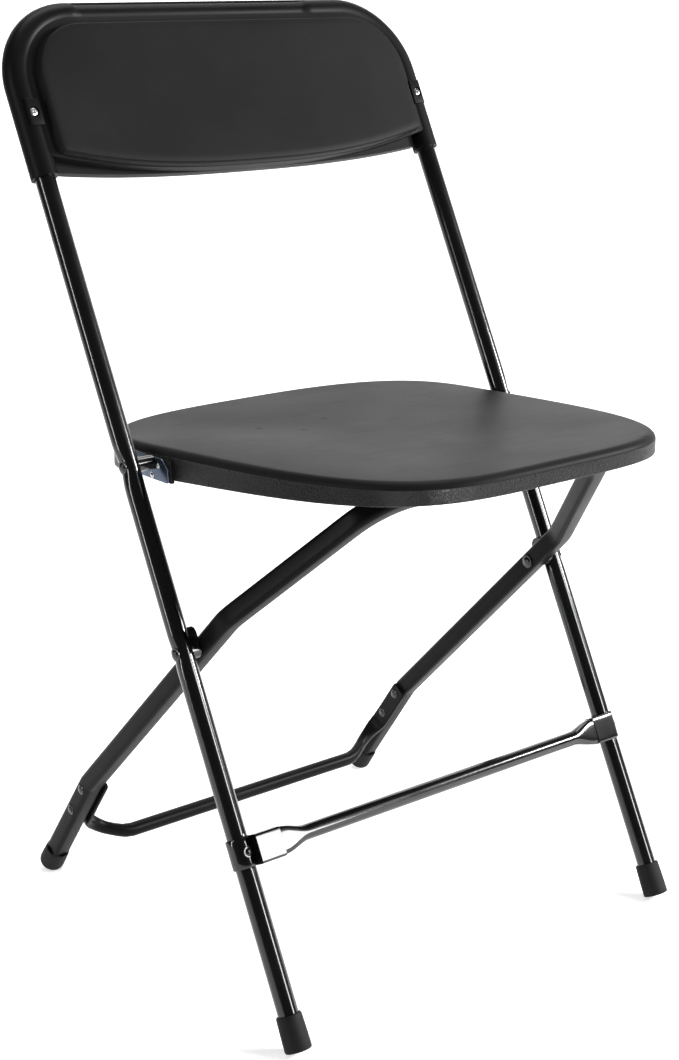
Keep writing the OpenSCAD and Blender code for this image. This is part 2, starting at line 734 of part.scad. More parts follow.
module rear_leg_frame() {
    outer = leg_skin(chamfered_square(leg_w, leg_chamfer));
    inner = leg_skin(chamfered_square(leg_w - 2 * leg_wall, leg_chamfer - leg_wall / 2));
    last = len(inner) - 1;
    color(steel_colour) placed() difference() {
        on_legs() closed_skin(concat(outer, [for (i = [last : -1 : 0]) inner[i]]));
        for (side = [-1, 1]) {
            across(side * (leg_pivot_x - leg_w), side * (leg_pivot_x + leg_w), leg_pivot,
                   pivot_d + 2 * pivot_clear);
            on_low_leg(side) for (s = bar_rivet_s)
                translate([s, 0, 0]) cylinder(d = rivet_d, h = 2 * leg_w, center = true);
        }
    }
}

plate_t = 3;
plate_w = 18;
plate_ahead = 2;
plate_from = -2;
plate_to = 52;

// The crossbar runs between the legs, and its flattened ends are riveted to their inner faces.
// The necks start a little inside the plate and the bar.
module rear_crossbar() {
    drop_s = (low_bend_z - rear_bar_z - rear_bar_set * sin(foot_lean)) / cos(foot_lean);
    middle_x = 138;
    neck_sink = 8;
    neck_from = bar_rivet_s[1] + rivet_head_d / 2 + 1;
    neck_l = plate_to - 2 - neck_from;
    color(steel_colour) placed() union() {
        on_low_leg_plane() translate([0, rear_bar_set, -drop_s])
            rotate([0, 90, 0]) difference() {
                cylinder(d = bar_d, h = 2 * middle_x, center = true);
                cylinder(r = bar_r - bar_wall, h = 2 * (middle_x - 2 * neck_sink), center = true);
            }
        for (side = [-1, 1]) difference() {
            union() {
                on_low_leg(side)
                    translate([(plate_from + plate_to) / 2, plate_ahead, side * plate_z()])
                        cube([plate_to - plate_from, plate_w, plate_t], center = true);
                hull() {
                    on_low_leg_plane()
                        translate([side * (middle_x - neck_sink), rear_bar_set, -drop_s])
                            rotate([0, 90, 0]) cylinder(d = bar_d - 1, h = 1, center = true, $fn = 24);
                    on_low_leg(side)
                        translate([neck_from + neck_l / 2, plate_ahead, side * plate_z()])
                            cube([neck_l, plate_w - 3, plate_t - 1], center = true);
                }
            }
            on_low_leg(side) for (s = bar_rivet_s)
                translate([s, 0, 0]) cylinder(d = rivet_d, h = 2 * leg_w, center = true);
        }
    }
}

// Middle plane of the lower legs: x across, y towards the front and floor, z up the leg
module on_low_leg_plane() {
    translate([0, low_bend_y, low_bend_z])
        rotate([foot_lean, 0, 0]) mirror([0, 1, 0]) children();
}

function plate_z() = leg_half + plate_t / 2;

module rear_crossbar_rivets() {
    color("silver") placed() for (side = [-1, 1])
        on_low_leg(side) for (s = bar_rivet_s)
            translate([s, 0, 0]) {
                inner = leg_half + plate_t;
                translate([0, 0, side > 0 ? -leg_half : -inner])
                    cylinder(d = rivet_d, h = leg_half + inner);
                translate([0, 0, side * inner]) rotate([side > 0 ? 0 : 180, 0, 0])
                    rivet_head(rivet_head_d, rivet_head_h);
                translate([0, 0, -side * leg_half]) rotate([side > 0 ? 180 : 0, 0, 0])
                    rivet_head(rivet_head_d, rivet_head_h);
            }
}

module rear_foot(side) {
    color("black") placed() on_low_leg(side)
        translate([low_leg_l, 0, 0]) rotate([0, -90, 0]) difference() {
            foot_cap(rear_foot_r, rear_foot_r - 0.5, rear_foot_l, rear_edge_r);
            translate([0, 0, cap_floor]) linear_extrude(rear_foot_l)
                polygon(chamfered_square(leg_w, leg_chamfer));
        }
}
module rear_foot_left() { rear_foot(-1); }
module rear_foot_right() { rear_foot(1); }

frame_tube();
back_front_shell();
back_rear_shell();
back_screws();
front_crossbar();
front_crossbar_rivets();
front_foot_left();
front_foot_right();
seat_pivot_rivet_left();
seat_pivot_rivet_right();
seat_pivot_spacer_left();
seat_pivot_spacer_right();
leg_pivot_rivet_left();
leg_pivot_rivet_right();
leg_pivot_spacer_left();
leg_pivot_spacer_right();
seat_shell();
seat_bracket_left();
seat_bracket_right();
seat_bracket_screws();
seat_glide_left();
seat_glide_right();
rear_leg_frame();
rear_crossbar();
rear_crossbar_rivets();
rear_foot_left();
rear_foot_right();
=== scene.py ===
"""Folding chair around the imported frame: meshes, materials, light and camera. Lengths in mm."""
import json
import math
import bmesh
import bpy
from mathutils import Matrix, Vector


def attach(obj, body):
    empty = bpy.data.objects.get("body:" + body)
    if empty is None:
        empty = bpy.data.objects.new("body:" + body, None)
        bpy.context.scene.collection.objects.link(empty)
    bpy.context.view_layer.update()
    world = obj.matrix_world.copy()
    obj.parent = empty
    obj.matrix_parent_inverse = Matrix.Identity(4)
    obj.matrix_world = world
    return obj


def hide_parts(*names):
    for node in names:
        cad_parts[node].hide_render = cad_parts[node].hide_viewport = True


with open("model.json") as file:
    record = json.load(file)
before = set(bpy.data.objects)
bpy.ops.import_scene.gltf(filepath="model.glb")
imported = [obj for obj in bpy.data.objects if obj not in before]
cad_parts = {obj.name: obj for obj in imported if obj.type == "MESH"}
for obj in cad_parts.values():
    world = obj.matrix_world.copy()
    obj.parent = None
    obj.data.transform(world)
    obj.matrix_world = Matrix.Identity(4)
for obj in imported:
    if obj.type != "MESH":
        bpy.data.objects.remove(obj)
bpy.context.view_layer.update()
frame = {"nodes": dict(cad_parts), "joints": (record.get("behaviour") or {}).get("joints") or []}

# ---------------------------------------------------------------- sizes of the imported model
LEAN = math.radians(27)
TUBE_X, TUBE_R = 205.0, 8.5
TOP_T, BACK_T, BEND_R = 863.64, 725.14, 62.0
FOOT_T, CAP_FLOOR = 5.02, 4.0
SEAT_PIVOT_T, LEG_PIVOT_T, BAR_T, SCREW_T = 481.0, 326.5, 163.0, 777.14
RIM_R = 11.5
FRONT_LOWER, REAR_LOWER, FRONT_BOW, REAR_BOW = 739.14, 729.14, 19.0, 9.0
RISE, SPLAY, FOOT_LEAN = math.radians(45), math.radians(0.6), math.radians(35.6)
LEG_X, LEG_H, ARCH_Z, LOW_Z, REAR_BAR_Z = 183.0, 8.5, 430.0, 112.0, 40.0
KINK_S, SLOPE, ARCH_R, KINK_R = 45.0, math.radians(23), 50.0, 40.0
LOW_BEND_R, FOOT_END_Z = 30.0, 4.72
BAR_R, BAR_SINK, SADDLE_WALL = 6.5, 4.0, 2.0
REAR_BAR_SET, PLATE_AHEAD = 22.0, 2.0
REAR_BAR_RIVETS = (8, 40)
PIVOT_R, PIVOT_HEAD_R, RIVET_HEAD_R = 3.0, 5.6, 4.5
SEAT_RIVET_TAIL_X, SEAT_DENT, LEG_DENT = 173.3, 2.6, 1.2

joints = {j["name"]: j for j in frame["joints"]}
P1 = Vector(joints["seat_fold"]["pos_m"]) * 1000
P2 = Vector(joints["rear_leg_fold"]["pos_m"]) * 1000
Y0 = P1.y - SEAT_PIVOT_T * math.sin(LEAN)
X_AXIS, Y_AXIS, Z_AXIS = Vector((1, 0, 0)), Vector((0, 1, 0)), Vector((0, 0, 1))
TUBE_UP = Vector((0, math.sin(LEAN), math.cos(LEAN)))
TUBE_BACK = Vector((0, math.cos(LEAN), -math.sin(LEAN)))
LEG_UP = Vector((0, -math.cos(RISE), math.sin(RISE)))
LEG_FRONT = Vector((0, -math.sin(RISE), -math.cos(RISE)))
TOP_S = (ARCH_Z - P2.z) / math.sin(RISE)
LOW_S = (P2.z - LOW_Z) / math.sin(RISE)
LOW_X = LEG_X + LOW_S * math.tan(SPLAY)
KINK_X = LEG_X - KINK_S * math.tan(SPLAY)
CORNER_X = KINK_X - (TOP_S - KINK_S) * math.tan(SLOPE)
LOW_TURN = math.pi / 2 - RISE - FOOT_LEAN
LOW_L = (LOW_Z - FOOT_END_Z) / math.cos(FOOT_LEAN)


def on_frame(x, perp, t):
    """A point beside the frame's tubes: perp behind their plane, t up them."""
    return Vector((x, Y0, 0)) + TUBE_BACK * perp + TUBE_UP * t


def on_legs(x, s, front=0.0):
    """A point in the rear legs' plane: s up the legs from their pivot, front ahead of them."""
    return P2 + X_AXIS * x + LEG_UP * s + LEG_FRONT * front


def low_leg(side):
    """Start, way down and way forward of one leg below its lower bend."""
    down = X_AXIS * side * math.sin(SPLAY) - LEG_UP * math.cos(SPLAY)
    start = on_legs(side * LOW_X, -LOW_S)
    way = down * math.cos(LOW_TURN) + LEG_FRONT * math.sin(LOW_TURN)
    front = LEG_FRONT * math.cos(LOW_TURN) - down * math.sin(LOW_TURN)
    return start, way, front


# ---------------------------------------------------------------- materials
def new_material(name):
    mat = bpy.data.materials.new(name)
    mat.use_nodes = True
    tree = mat.node_tree
    shader = tree.nodes["Principled BSDF"]
    return mat, tree, shader


def node(tree, kind, inputs=(), **settings):
    n = tree.nodes.new(kind)
    for k, v in settings.items():
        setattr(n, k, v)
    for key, value in dict(inputs).items():
        if isinstance(value, bpy.types.NodeSocket):
            tree.links.new(value, n.inputs[key])
        else:
            n.inputs[key].default_value = value
    return n


def noise(tree, coords, scale, detail=4.0, rough=0.55):
    return node(tree, "ShaderNodeTexNoise",
                {"Vector": coords, "Scale": scale, "Detail": detail, "Roughness": rough})


def spread(tree, value, low, high, to_low, to_high):
    return node(tree, "ShaderNodeMapRange", {"Value": value, "From Min": low, "From Max": high,
                                             "To Min": to_low, "To Max": to_high}).outputs[0]


def blend_colours(tree, factor, a, b):
    mix = node(tree, "ShaderNodeMix", data_type="RGBA")
    tree.links.new(factor, mix.inputs[0])
    for socket, value in ((mix.inputs[6], a), (mix.inputs[7], b)):
        if isinstance(value, bpy.types.NodeSocket):
            tree.links.new(value, socket)
        else:
            socket.default_value = (*value, 1)
    return mix.outputs[2]


def coordinates(tree, stretch=None):
    coords = node(tree, "ShaderNodeTexCoord").outputs["Object"]
    if stretch:
        coords = node(tree, "ShaderNodeMapping", {"Vector": coords, "Scale": stretch}).outputs[0]
    return coords


# Pointiness between which an edge goes from clean to worn
WORN_EDGE = (0.56, 0.68)


def finish_material(name, colour, light, worn, rough, grain, blotch=22.0, metallic=0.0, coat=0.0,
                    coat_rough=0.1, stretch=None, pebble=None, scratches=False,
                    specular=0.5):
    """A surface with blotches, grain or pebble in its bump, and lighter worn edges."""
    mat, tree, shader = new_material(name)
    coords = coordinates(tree)
    blotches = noise(tree, coords, blotch, 5.0).outputs[0]
    mixed = blend_colours(tree, spread(tree, blotches, 0.35, 0.7, 0, 1), colour, light)
    edge = node(tree, "ShaderNodeNewGeometry").outputs["Pointiness"]
    patchy = noise(tree, coords, 160.0, 3.0).outputs[0]
    worn_edge = node(tree, "ShaderNodeMath", {0: spread(tree, edge, *WORN_EDGE, 0, 1),
                                              1: spread(tree, patchy, 0.4, 0.62, 0, 1)},
                     operation="MULTIPLY", use_clamp=True).outputs[0]
    tree.links.new(blend_colours(tree, worn_edge, mixed, worn), shader.inputs["Base Color"])
    rough_value = spread(tree, blotches, 0.3, 0.7, *rough)
    fine = noise(tree, coordinates(tree, stretch), grain[0], 3.0, 0.6).outputs[0]
    height, depth = fine, grain[1]
    if pebble:
        cells = node(tree, "ShaderNodeTexVoronoi", {"Vector": coords, "Scale": pebble[0]},
                     feature="SMOOTH_F1").outputs[0]
        height = node(tree, "ShaderNodeMath", {0: cells, 1: fine}, operation="ADD").outputs[0]
        depth = pebble[1]
    if scratches:
        streaks = noise(tree, coordinates(tree, (14, 420, 60)), 1.0, 6.0, 0.7).outputs[0]
        marks = spread(tree, streaks, 0.58, 0.74, 0, 0.16)
        rough_value = node(tree, "ShaderNodeMath", {0: rough_value, 1: marks},
                           operation="ADD", use_clamp=True).outputs[0]
    tree.links.new(rough_value, shader.inputs["Roughness"])
    bump = node(tree, "ShaderNodeBump", {"Height": height, "Strength": 1.0, "Distance": depth})
    tree.links.new(bump.outputs[0], shader.inputs["Normal"])
    shader.inputs["Metallic"].default_value = metallic
    shader.inputs["Coat Weight"].default_value = coat
    shader.inputs["Coat Roughness"].default_value = coat_rough
    shader.inputs["Specular IOR Level"].default_value = specular
    return mat


MATERIALS = {
    "tube_paint": finish_material(
        "tube_paint", (0.0022, 0.0022, 0.0025), (0.0035, 0.0035, 0.0038), (0.02, 0.02, 0.021),
        (0.16, 0.22), (900.0, 0.000012), coat=0.5, coat_rough=0.05, specular=0.3),
    "leg_paint": finish_material(
        "leg_paint", (0.004, 0.004, 0.0041), (0.006, 0.006, 0.0062), (0.025, 0.025, 0.026),
        (0.3, 0.38), (1100.0, 0.00002), specular=0.06),
    "moulded_plastic": finish_material(
        "moulded_plastic", (0.0112, 0.0108, 0.011), (0.0138, 0.0133, 0.0136),
        (0.02, 0.02, 0.02), (0.4, 0.48), (2600.0, 0.00003), blotch=9.0, scratches=True,
        specular=0.04),
    # The same plastic as moulded_plastic in a darker colour: painted shade on the backrest's rim
    # and screw pads
    "shaded_rim_plastic": finish_material(
        "shaded_rim_plastic", (0.0048, 0.0047, 0.0048), (0.0062, 0.006, 0.0061),
        (0.014, 0.014, 0.014), (0.36, 0.44), (2600.0, 0.00003), blotch=9.0, specular=0.06),
    # The seat's skirt: a real pebble in the bump, and a darker colour than the seat's top, painted
    # shade on the same moulding
    "pebbled_shaded_plastic": finish_material(
        "pebbled_shaded_plastic", (0.003, 0.003, 0.0031), (0.0045, 0.0045, 0.0046),
        (0.02, 0.02, 0.02), (0.34, 0.42), (2200.0, 0.00003), blotch=14.0,
        pebble=(620.0, 0.007), specular=0.4),
    "rubber": finish_material(
        "rubber", (0.004, 0.004, 0.0041), (0.007, 0.007, 0.007), (0.02, 0.02, 0.02),
        (0.6, 0.75), (1500.0, 0.00006), specular=0.2),
    "rivet_steel": finish_material(
        "rivet_steel", (0.006, 0.006, 0.0062), (0.014, 0.014, 0.0145), (0.2, 0.2, 0.21),
        (0.16, 0.26), (1400.0, 0.00002), metallic=0.3, coat=0.3),
    "screw_steel": finish_material(
        "screw_steel", (0.5, 0.5, 0.51), (0.66, 0.66, 0.67), (0.8, 0.8, 0.82),
        (0.2, 0.32), (900.0, 0.00002), metallic=1.0, stretch=(1, 6, 1)),
    "bracket_zinc": finish_material(
        "bracket_zinc", (0.05, 0.068, 0.1), (0.12, 0.15, 0.2), (0.6, 0.64, 0.7),
        (0.18, 0.34), (700.0, 0.00003), blotch=60.0, metallic=0.9, stretch=(1, 5, 1)),
    "glide_nylon": finish_material(
        "glide_nylon", (0.02, 0.02, 0.02), (0.03, 0.03, 0.03), (0.06, 0.06, 0.06),
        (0.4, 0.5), (1800.0, 0.00003)),
}


# ---------------------------------------------------------------- mesh helpers
# Edges sharper than this many degrees aren't shaded smooth
SHARP = 32


def piece(name, verts, faces, slots, body, nodes=(), indices=None, sharp=SHARP, bevel=0.0):
    """A mesh in mm, riding on a body. slots names the materials."""
    mesh = bpy.data.meshes.new(name)
    mesh.from_pydata([tuple(v * 0.001) for v in verts], [], faces)
    for s in slots:
        mesh.materials.append(MATERIALS[s])
    if indices:
        for poly, i in zip(mesh.polygons, indices):
            poly.material_index = i
    mesh.update()
    obj = bpy.data.objects.new(name, mesh)
    bpy.context.scene.collection.objects.link(obj)
    outward(mesh)
    if bevel:
        add_bevel(obj, bevel)
    shade(obj.data, sharp)
    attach(obj, body)
    if nodes:
        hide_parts(*nodes)
    return obj


def outward(mesh):
    bm = bmesh.new()
    bm.from_mesh(mesh)
    bmesh.ops.recalc_face_normals(bm, faces=bm.faces)
    bm.to_mesh(mesh)
    bm.free()


def shade(mesh, sharp):
    mesh.shade_smooth()
    mesh.set_sharp_from_angle(angle=math.radians(sharp))


def add_bevel(obj, width):
    mod = obj.modifiers.new("edges", "BEVEL")
    mod.width = width * 0.001
    mod.segments = 3
    mod.limit_method = "ANGLE"
    mod.angle_limit = math.radians(50)
    settle(obj)


def settle(obj):
    """Applies the object's modifiers."""
    graph = bpy.context.evaluated_depsgraph_get()
    mesh = bpy.data.meshes.new_from_object(obj.evaluated_get(graph))
    old = obj.data
    obj.modifiers.clear()
    obj.data = mesh
    bpy.data.meshes.remove(old)


def cut(obj, cutters):
    """Takes solids in mm out of a piece."""
    for verts, faces in cutters:
        mesh = bpy.data.meshes.new("cutter")
        mesh.from_pydata([tuple(v * 0.001) for v in verts], [], faces)
        outward(mesh)
        tool = bpy.data.objects.new("cutter", mesh)
        bpy.context.scene.collection.objects.link(tool)
        mod = obj.modifiers.new("cut", "BOOLEAN")
        mod.operation = "DIFFERENCE"
        mod.solver = "EXACT"
        mod.object = tool
        settle(obj)
        bpy.data.objects.remove(tool)
        bpy.data.meshes.remove(mesh)
    shade(obj.data, SHARP)


def skin(rings, caps=True, looped=False):
    """Verts and faces of rings of points that follow each other."""
    n, m = len(rings[0]), len(rings)
    verts = [p for r in rings for p in r]
    faces = []
    for j in range(m if looped else m - 1):
        a, b = j * n, ((j + 1) % m) * n
        for i in range(n):
            k = (i + 1) % n
            faces.append((a + i, a + k, b + k, b + i))
    if caps and not looped:
        faces.append(tuple(range(n)))
        faces.append(tuple((m - 1) * n + i for i in range(n)))
    return verts, faces


def merge(parts):
    """Several (verts, faces) as one."""
    verts, faces = [], []
    for v, f in parts:
        base = len(verts)
        verts += v
        faces += [tuple(i + base for i in face) for face in f]
    return verts, faces


def lathe(origin, axis, profile, count=48):
    """A turned shape: profile of (radius, height), from the axis below to the axis on top."""
    axis = axis.normalized()
    u = axis.orthogonal().normalized()
    v = axis.cross(u)
    turns = [(math.cos(2 * math.pi * i / count), math.sin(2 * math.pi * i / count))
             for i in range(count)]
    return skin([[origin + axis * h + (u * c + v * s) * max(r, 0.02) for c, s in turns]
                 for r, h in profile])


def block(centre, axes, size):
    """A box with its middle, three axes and three sizes."""
    square = ((-0.5, -0.5), (0.5, -0.5), (0.5, 0.5), (-0.5, 0.5))
    corners = [(i, j, k) for k in (-0.5, 0.5) for i, j in square]
    verts = [centre + axes[0] * size[0] * i + axes[1] * size[1] * j + axes[2] * size[2] * k
             for i, j, k in corners]
    return verts, [(0, 1, 2, 3), (4, 5, 6, 7), (0, 1, 5, 4), (1, 2, 6, 5), (2, 3, 7, 6),
                   (3, 0, 4, 7)]


def route(points, radii, step=6.0, arc_step=4.0):
    """Points along a flat route with rounded corners, each as (x, y, heading)."""
    found = []
    heads = [math.atan2(b[1] - a[1], b[0] - a[0]) for a, b in zip(points, points[1:])]
    trims = [0.0] * len(points)
    turns = [0.0] * len(points)
    for i in range(1, len(points) - 1):
        turns[i] = (heads[i] - heads[i - 1] + math.pi) % (2 * math.pi) - math.pi
        trims[i] = radii[i] * math.tan(abs(turns[i]) / 2)
    for i, h in enumerate(heads):
        a, b = Vector(points[i]), Vector(points[i + 1])
        way = Vector((math.cos(h), math.sin(h)))
        length = (b - a).length - trims[i] - trims[i + 1]
        count = max(2, round(length / step))
        for k in range(count + 1):
            p = a + way * (trims[i] + length * k / count)
            found.append((p.x, p.y, h))
        if i + 1 < len(heads):
            turn, r = turns[i + 1], radii[i + 1]
            start = b - way * trims[i + 1]
            side = 1 if turn > 0 else -1
            centre = start + Vector((-math.sin(h), math.cos(h))) * r * side
            count = max(2, round(math.degrees(abs(turn)) / arc_step))
            for k in range(1, count):
                a2 = h - side * math.pi / 2 + turn * k / count
                p = centre + Vector((math.cos(a2), math.sin(a2))) * r
                found.append((p.x, p.y, h + turn * k / count))
    return found


def smooth(t):
    """Eases from 0 to 1."""
    t = min(max(t, 0.0), 1.0)
    return t * t * (3 - 2 * t)


def power(v, n):
    """A power that keeps its sign, for rounded outlines."""
    return math.copysign(abs(v) ** n, v)


def rounded_square(half, r, per_corner=6):
    """Points of a rounded square, anticlockwise."""
    pts = []
    for cx, cy, a0 in ((1, 1, 0), (-1, 1, 90), (-1, -1, 180), (1, -1, 270)):
        for k in range(per_corner + 1):
            a = math.radians(a0 + 90 * k / per_corner)
            pts.append((cx * (half - r) + r * math.cos(a), cy * (half - r) + r * math.sin(a)))
    return pts


# ---------------------------------------------------------------- front frame
def u_route(from_t):
    """The frame's route as (x, t, heading), up one tube and down the other."""
    pts = [(-TUBE_X, from_t), (-TUBE_X, TOP_T), (TUBE_X, TOP_T), (TUBE_X, from_t)]
    return route(pts, [0, BEND_R, BEND_R, 0], 4.0, 3.0)


# Places up the tube, the angle that each faces in degrees, its depth and its width
DENTS = [(SEAT_PIVOT_T, 0.0, SEAT_DENT, 11.0), (LEG_PIVOT_T, 0.0, LEG_DENT, 8.0),
         (BAR_T, -90.0, 1.8, 9.0)]


def tube_radius(theta, t):
    """The tube is pressed in a little around its rivets."""
    r = TUBE_R
    for at, towards, depth, wide in DENTS:
        facing = math.cos(theta - math.radians(towards))
        if facing > 0:
            r -= depth * facing ** 1.5 * math.exp(-((t - at) / wide) ** 2)
    return r


def sweep_u(from_t, profile):
    """Rings along the frame's route. profile(x, t) gives (angle, radius) pairs."""
    rings = []
    for x, t, h in u_route(from_t):
        out = X_AXIS * -math.sin(h) + TUBE_UP * math.cos(h)
        centre = on_frame(x, 0, t)
        rings.append([centre + (out * math.cos(a) + TUBE_BACK * math.sin(a)) * r
                      for a, r in profile(x, t)])
    return rings


TUBE_SIDES = 56
angles = [2 * math.pi * i / TUBE_SIDES for i in range(TUBE_SIDES)]
piece("frame_tube_shape",
      *skin(sweep_u(FOOT_T + CAP_FLOOR, lambda x, t: [(a, tube_radius(a, t)) for a in angles])),
      ["tube_paint"], "front_frame", ["frame_tube"])

# Foot caps as (radius, height) from their closed end, up the outside and down the inside
FOOT_PROFILE = [(0, 0), (9.2, 0), (10.2, 0.25), (10.8, 0.9), (11.0, 1.8), (10.9, 12), (10.55, 24),
                (10.4, 27.6), (10.1, 28.6), (9.6, 29), (9.0, 28.9), (8.75, 28.2), (8.7, 24),
                (0, 24)]
REAR_FOOT_PROFILE = ([(0, 0)]
                     + [(6.5 + 5 * math.sin(a), 5 - 5 * math.cos(a))
                        for a in [math.radians(q) for q in range(0, 91, 10)]]
                     + [(11.35, 14), (11.15, 21), (11.0, 23.4), (10.75, 24.5), (10.3, 25),
                        (9.9, 24.7), (9.75, 23.6), (9.7, 20), (0, 20)])
for side, word in ((-1, "left"), (1, "right")):
    piece(f"front_foot_{word}_cap",
          *lathe(on_frame(side * TUBE_X, 0, FOOT_T), TUBE_UP, FOOT_PROFILE),
          ["rubber"], "front_frame", [f"front_foot_{word}"])
    start, way, _ = low_leg(side)
    piece(f"rear_foot_{word}_cap", *lathe(start + way * LOW_L, -way, REAR_FOOT_PROFILE),
          ["rubber"], "rear_legs", [f"rear_foot_{word}"])


def dome(at, axis, r, h, flange=0.6):
    """A rivet head with a thin flange and a domed middle."""
    inner = r * 0.72
    profile = [(0, -0.4), (r, -0.4), (r, flange * 0.6), (r - 0.35, flange), (inner + 0.3, flange)]
    profile += [(inner * math.cos(a), flange + (h - flange) * math.sin(a))
                for a in [math.radians(q) for q in (0, 15, 30, 45, 60, 75, 90)]]
    return lathe(at, axis, profile, 36)


def shank(a, b, r):
    """A plain cylinder from a to b."""
    way = b - a
    return lathe(a, way, [(0, 0), (r, 0), (r, way.length), (0, way.length)], 32)


# Pivot rivets
for side, word in ((-1, "left"), (1, "right")):
    out = X_AXIS * side
    tail = P1 + out * SEAT_RIVET_TAIL_X
    face = P1 + out * (TUBE_X + TUBE_R - SEAT_DENT)
    piece(f"seat_pivot_rivet_{word}_shape",
          *merge([dome(face, out, PIVOT_HEAD_R, 2.6), shank(tail, face, PIVOT_R),
                  lathe(tail, out, [(0, 0), (5, 0), (5, 2.2), (0, 2.2)], 36)]),
          ["rivet_steel"], "front_frame", [f"seat_pivot_rivet_{word}"])
    tail = P2 + out * (LEG_X - LEG_H - 0.45)
    face = P2 + out * (TUBE_X + TUBE_R - LEG_DENT)
    piece(f"leg_pivot_rivet_{word}_shape",
          *merge([dome(face, out, PIVOT_HEAD_R, 2.4), shank(tail, face, PIVOT_R),
                  dome(tail, -out, 6, 2.2)]),
          ["rivet_steel"], "front_frame", [f"leg_pivot_rivet_{word}"])


# ---------------------------------------------------------------- front crossbar
BAR_PERP = -(TUBE_R + SADDLE_WALL + BAR_R - BAR_SINK)
FLARE_START, FLARE_L = 150, 25
BLOCK_START, BLOCK_END, BLOCK_HALF_H = 176.6, 199.9, 12.0
SADDLE_R = TUBE_R + SADDLE_WALL
BAR_SIDES = 64
GROOVE_START, GROOVE_LOW, GROOVE_HIGH, GROOVE_DEPTH = 176.9, 3.0, 5.6, 1.1


def bar_section(x):
    """Half height, half depth and squareness of the bar at a distance from its middle."""
    grow = smooth((x - FLARE_START) / FLARE_L)
    if x > BLOCK_START:
        return BLOCK_HALF_H, 6.2, 9.0
    return BAR_R + 4.9 * grow, BAR_R - 0.9 * grow, 2.0 + 2.4 * grow


def front_bar():
    """The round bar and its two flared ends, each with a groove along its front."""
    middle = range(-FLARE_START, FLARE_START + 1, 30)
    ends = [152, 155, 158, 161, 164, 167, 170, 173, 176, 176.5, 176.7, 177.2, 182, 190, BLOCK_END]
    stations = sorted({-x for x in ends} | set(middle) | set(ends))
    rings = []
    for x in stations:
        hh, hd, n = bar_section(abs(x))
        ring = []
        for k in range(BAR_SIDES):
            a = 2 * math.pi * (k + 0.5) / BAR_SIDES
            up, ahead = hh * power(math.sin(a), 2 / n), hd * power(math.cos(a), 2 / n)
            if abs(x) > GROOVE_START and ahead < 0 and GROOVE_LOW < up < GROOVE_HIGH:
                ahead += GROOVE_DEPTH
            ring.append(on_frame(x, BAR_PERP + ahead, BAR_T + up))
        rings.append(ring)
    return skin(rings)


def saddle(side):
    """The end of the crossbar wraps the front of the tube."""
    rings = []
    for t in (-BLOCK_HALF_H, -11.2, -6, 0, 6, 11.2, BLOCK_HALF_H):
        edge = 0.5 if abs(t) == BLOCK_HALF_H else 0.0
        turns = [math.radians(q) for q in range(-105, 106, 6)]
        ring = []
        for r in (SADDLE_R - edge, 8.7 + edge * 0.5):
            ring += [on_frame(side * (TUBE_X + r * math.sin(a)), -r * math.cos(a), BAR_T + t)
                     for a in turns]
            turns.reverse()
        rings.append(ring)
    return skin(rings)


verts, faces = merge([front_bar(), saddle(-1), saddle(1)])
piece("front_crossbar_shape", verts, faces, ["tube_paint"], "front_frame", ["front_crossbar"],
      sharp=40)
piece("front_crossbar_rivets_shape",
      *merge([dome(on_frame(s * TUBE_X, perp, BAR_T), TUBE_BACK * way, RIVET_HEAD_R, 2.0)
              for s in (-1, 1) for way, perp in ((-1, 0.1 - SADDLE_R), (1, TUBE_R - 0.3))]),
      ["rivet_steel"], "front_frame", ["front_crossbar_rivets"])


# ---------------------------------------------------------------- backrest
LOW_CORNER_R, BOW_N = 4.0, 2.6
TOP_POINTS, SIDE_POINTS = 18, 6


def corner(x, t, r, degrees):
    """Points of a rounded corner around its centre."""
    turns = [math.radians(a) for a in degrees]
    return [(x + r * math.cos(a), t + r * math.sin(a)) for a in turns]


def outline(inset, lower, bow):
    """The edge of a backrest panel, as (x, t), anticlockwise from the right end of the top."""
    x, top = TUBE_X - inset, TOP_T - inset
    r, low_r = max(BEND_R - inset, 8), LOW_CORNER_R
    side_l = top - r - lower - low_r
    pts = corner(x - r, top - r, r, range(0, 91, 5))
    pts += [(x - r - 2 * (x - r) * k / TOP_POINTS, top) for k in range(1, TOP_POINTS)]
    pts += corner(r - x, top - r, r, range(90, 181, 5))
    pts += [(-x, top - r - side_l * k / SIDE_POINTS) for k in range(1, SIDE_POINTS)]
    pts += corner(low_r - x, lower + low_r, low_r, range(180, 256, 15))
    for k in range(1 - TOP_POINTS, TOP_POINTS):
        q = k / TOP_POINTS
        pts.append((q * (x - low_r), lower - bow * (1 - abs(q) ** BOW_N)))
    pts += corner(x - low_r, lower + low_r, low_r, range(285, 361, 15))
    pts += [(x, lower + low_r + side_l * k / SIDE_POINTS) for k in range(1, SIDE_POINTS)]
    return pts


def shell_panel(steps, lower, bow, middle_perp):
    """A panel from rings of (inset, rise of the lower edge, perp), closed towards its middle."""
    rings = [[on_frame(x, perp, t) for x, t in outline(inset, lower + rise, bow)]
             for inset, rise, perp in steps]
    inset, rise, perp = steps[-1]
    last = outline(inset, lower + rise, bow)
    mid_t = (TOP_T + lower) / 2 - 4
    for share in (0.92, 0.8, 0.6, 0.35, 0.12):
        p = perp + (middle_perp - perp) * (1 - share ** 2)
        rings.append([on_frame(x * share, p, mid_t + (t - mid_t) * share) for x, t in last])
    return skin(rings)


RECESS_X, RECESS_TURN, RECESS_DEPTH = (-136, 107), (20, 125), 1.9


